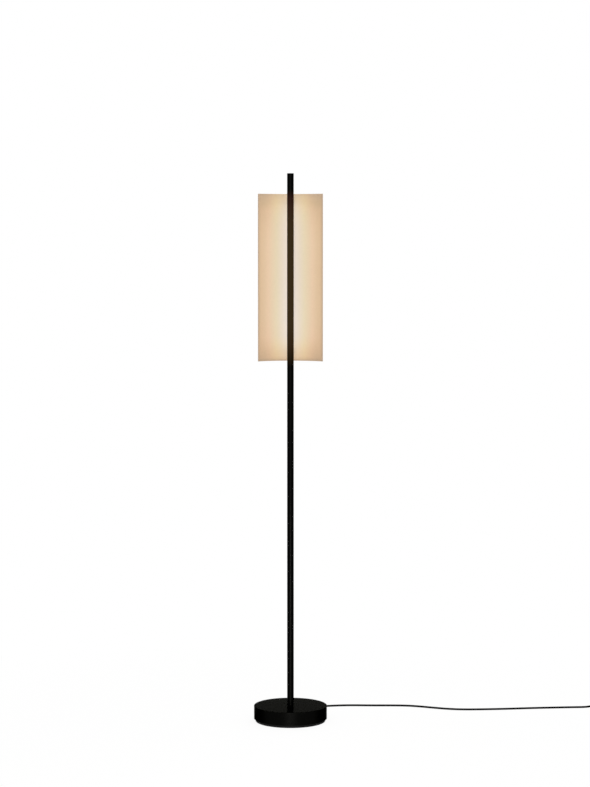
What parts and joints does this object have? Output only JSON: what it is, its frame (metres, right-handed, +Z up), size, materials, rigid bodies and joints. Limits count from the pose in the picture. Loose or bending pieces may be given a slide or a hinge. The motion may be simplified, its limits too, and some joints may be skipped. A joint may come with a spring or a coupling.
{
  "type": "floor lamp",
  "caption": "Column floor lamp: round weighted base, thin straight post that turns in it, tall curved reflector sheet behind the post, foot dimmer and plug on the cord.",
  "frame": {"origin": "on the floor, on the post's axis", "axes": "+Z up along the post, +X to the viewer's right along the cord, +Y from the viewer through the post to the reflector behind it"},
  "size_m": [1.2993, 0.32, 1.65],
  "materials": {
    "black_paint": "fine satin black powder coat",
    "shade_paint": "matt warm cream paint on both faces",
    "foot_rubber": "matt black rubber",
    "cast_weight": "rough grey casting",
    "zinc_plate": "zinc-plated steel",
    "screw_steel": "bright zinc",
    "black_screws": "black oxide",
    "bush_bronze": "sintered bronze",
    "slide_plastic": "natural nylon",
    "black_plastic": "fine-grained moulded black",
    "button_plastic": "moulded dark grey",
    "cord_sheath": "smooth black cord sheath",
    "wire_sheath": "grey wire sheath",
    "white_plastic": "moulded white",
    "bare_aluminium": "extruded",
    "board_white": "white board lacquer",
    "chip_yellow": "yellow light chip",
    "lens_opal": "opal plastic",
    "spring_steel": "spring wire",
    "pin_nickel": "nickel plate"
  },
  "bodies": {
    "base": {"base_cover": "black_paint", "base_weight": "cast_weight", "bottom_plate": "zinc_plate", "foot_ring": "foot_rubber", "swivel_hub": "zinc_plate", "lower_bush": "bush_bronze", "upper_bush": "bush_bronze", "thrust_washer": "slide_plastic", "stop_pin": "zinc_plate", "led_driver": "white_plastic", "driver_screws": "screw_steel", "cord_gland": "black_plastic", "gland_nut": "black_plastic", "mains_tail": "cord_sheath", "terminal_block": "white_plastic", "cord_clamp": "black_plastic", "clamp_screws": "screw_steel", "driver_lead": "wire_sheath", "base_wire": "wire_sheath", "hub_screws": "screw_steel", "cover_screws": "screw_steel", "plate_screws": "screw_steel", "dimmer_case": "black_plastic", "dimmer_cover": "black_plastic", "dimmer_board": "board_white", "dimmer_switch": "button_plastic", "button_spring": "spring_steel", "dimmer_screws": "screw_steel", "dimmer_sleeves": "black_plastic", "plug_body": "black_plastic", "plug_pins": "pin_nickel", "cord_lead": "cord_sheath", "cord_link": "cord_sheath", "cord_coil": "cord_sheath", "cord_end": "cord_sheath"},
    "post": {"post_tube": "black_paint", "post_cap": "black_paint", "post_spindle": "zinc_plate", "spring_washer": "zinc_plate", "stop_washer": "zinc_plate", "spindle_nut": "zinc_plate", "reflector": "shade_paint", "lower_bracket": "black_paint", "upper_bracket": "black_paint", "bracket_screws": "black_screws", "bracket_washers": "black_screws", "heat_bar": "bare_aluminium", "led_board": "board_white", "led_chips": "chip_yellow", "lens": "lens_opal", "post_wire": "wire_sheath"},
    "button": {"dimmer_button": "button_plastic"}
  },
  "joints": [
    {"name": "post_swivel", "type": "hinge", "parent": "base", "child": "post", "pos_m": [0, 0, 0.04], "axis": [0, 0, 1], "range_deg": [-160, 160]},
    {"name": "dimmer_press", "type": "slide", "parent": "base", "child": "button", "axis": [0, 0, -1], "range_m": [0, 0.002], "stiffness_N_per_m": 1500, "springref_m": -0.002, "deforming": ["button_spring"]}
  ]
}
